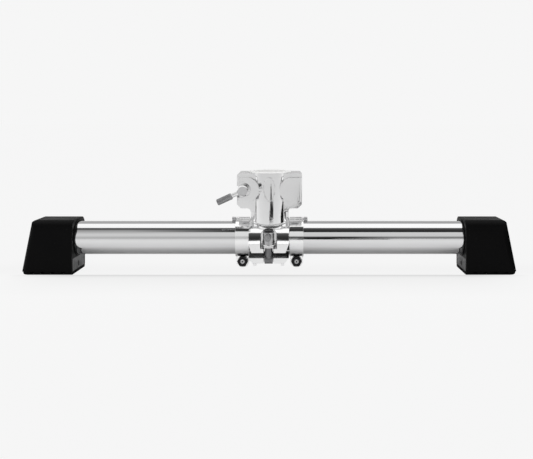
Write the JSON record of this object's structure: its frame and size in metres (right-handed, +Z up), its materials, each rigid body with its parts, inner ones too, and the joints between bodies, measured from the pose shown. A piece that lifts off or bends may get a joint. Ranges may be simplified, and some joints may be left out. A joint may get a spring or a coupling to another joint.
{
  "type": "sliding tube clamp on a footed rail",
  "caption": "Chrome tube rail on rubber feet with a hinged clamp that slides and tilts between stop collars and holds an upright post in a lever-locked socket.",
  "frame": {"origin": "on the floor under the middle of the whole object's box; the tube axis is 17.8 mm behind it and 38.5 mm above it", "axes": "+X along the tube, +Z up and along the post socket, -Y towards the clamp lever"},
  "size_m": [0.561, 0.0984, 0.1158],
  "materials": {
    "polished_tube": "polished chrome plate",
    "plated_casting": "polished chrome plate on a casting",
    "steel": "zinc plated",
    "dark_steel": "dark, turned",
    "black_steel": "black oxide",
    "black_rubber": "matt moulded",
    "grey_plastic": "fine textured",
    "black_nylon": "plain moulded",
    "white_nylon": "plain moulded",
    "black_plastic": "gloss moulded",
    "grey_cap": "gloss moulded"
  },
  "bodies": {
    "rail": {"rail_tube": "polished_tube", "left_foot_boot": "black_rubber", "right_foot_boot": "black_rubber", "left_foot_core": "grey_plastic", "right_foot_core": "grey_plastic", "left_foot_sole": "black_rubber", "right_foot_sole": "black_rubber", "left_end_plug": "grey_plastic", "right_end_plug": "grey_plastic", "foot_tube_screws": "steel", "foot_sole_screws": "steel", "foot_lock_screws": "black_steel"},
    "slide_liner": {"clamp_liner": "black_nylon"},
    "clamp": {"clamp_body": "plated_casting", "jaw_hinge_pin": "steel", "gate_hinge_pin": "steel", "socket_liner": "white_nylon"},
    "jaw": {"lower_jaw": "plated_casting", "clamp_eye_pin": "steel"},
    "jaw_bolt": {"clamp_bolt": "dark_steel"},
    "jaw_washer": {"clamp_washer": "plated_casting"},
    "jaw_lever": {"clamp_lever": "plated_casting", "clamp_lever_sleeve": "steel", "clamp_lever_cap": "black_plastic"},
    "gate": {"socket_gate": "plated_casting", "socket_eye_pin": "steel"},
    "gate_bolt": {"socket_bolt": "dark_steel"},
    "gate_washer": {"socket_washer": "plated_casting"},
    "gate_lever": {"socket_lever": "plated_casting", "socket_lever_sleeve": "steel", "socket_lever_cap": "grey_cap"},
    "left_collar": {"left_collar_front": "plated_casting", "left_collar_back": "plated_casting", "left_collar_pin": "steel", "left_collar_bolt": "steel", "left_collar_nut": "black_steel"},
    "right_collar": {"right_collar_front": "plated_casting", "right_collar_back": "plated_casting", "right_collar_pin": "steel", "right_collar_bolt": "steel", "right_collar_nut": "black_steel"}
  },
  "joints": [
    {"name": "carriage_slide", "type": "slide", "parent": "rail", "child": "slide_liner", "axis": [1, 0, 0], "range_m": [-0.145, 0.145]},
    {"name": "carriage_tilt", "type": "hinge", "parent": "slide_liner", "child": "clamp", "pos_m": [0, 0.01775, 0.0385], "axis": [1, 0, 0], "range_deg": [-90, 20]},
    {"name": "jaw_open", "type": "hinge", "parent": "clamp", "child": "jaw", "pos_m": [0, 0.04425, 0.0335], "axis": [1, 0, 0], "range_deg": [0, 0.26]},
    {"name": "clamp_bolt_swing", "type": "hinge", "parent": "jaw", "child": "jaw_bolt", "pos_m": [0, -0.01805, 0.0194], "axis": [1, 0, 0], "range_deg": [0, 60]},
    {"name": "clamp_nut_feed", "type": "slide", "parent": "jaw_bolt", "child": "jaw_washer", "axis": [0, 0, 1], "range_m": [0, 0.00026]},
    {"name": "clamp_lever_turn", "type": "hinge", "parent": "jaw_washer", "child": "jaw_lever", "pos_m": [0, -0.01805, 0.0385], "axis": [0, 0, 1], "range_deg": [0, 75]},
    {"name": "socket_gate_open", "type": "hinge", "parent": "clamp", "child": "gate", "pos_m": [0.0343, 0.01775, 0.09425], "axis": [0, 0, -1], "range_deg": [0, 1.9]},
    {"name": "socket_bolt_swing", "type": "hinge", "parent": "gate", "child": "gate_bolt", "pos_m": [-0.0292, 0.02675, 0.09545], "axis": [0, 0, -1], "range_deg": [0, 90]},
    {"name": "socket_nut_feed", "type": "slide", "parent": "gate_bolt", "child": "gate_washer", "axis": [0, -1, 0], "range_m": [0, 0.0025]},
    {"name": "socket_lever_turn", "type": "hinge", "parent": "gate_washer", "child": "gate_lever", "pos_m": [-0.0292, 0.01775, 0.09545], "axis": [0, -1, 0], "range_deg": [0, 720]},
    {"name": "left_collar_slide", "type": "slide", "parent": "clamp", "child": "left_collar", "axis": [-1, 0, 0], "range_m": [0, 0.02]},
    {"name": "right_collar_slide", "type": "slide", "parent": "clamp", "child": "right_collar", "axis": [1, 0, 0], "range_m": [0, 0.02]}
  ],
  "couplings": [
    {"joint": "clamp_lever_turn", "follows": "clamp_nut_feed", "rad_per_m": 5026.5},
    {"joint": "jaw_open", "follows": "clamp_nut_feed", "rad_per_m": 15.249},
    {"joint": "socket_lever_turn", "follows": "socket_nut_feed", "rad_per_m": 5026.5},
    {"joint": "socket_gate_open", "follows": "socket_nut_feed", "rad_per_m": 12.566}
  ]
}
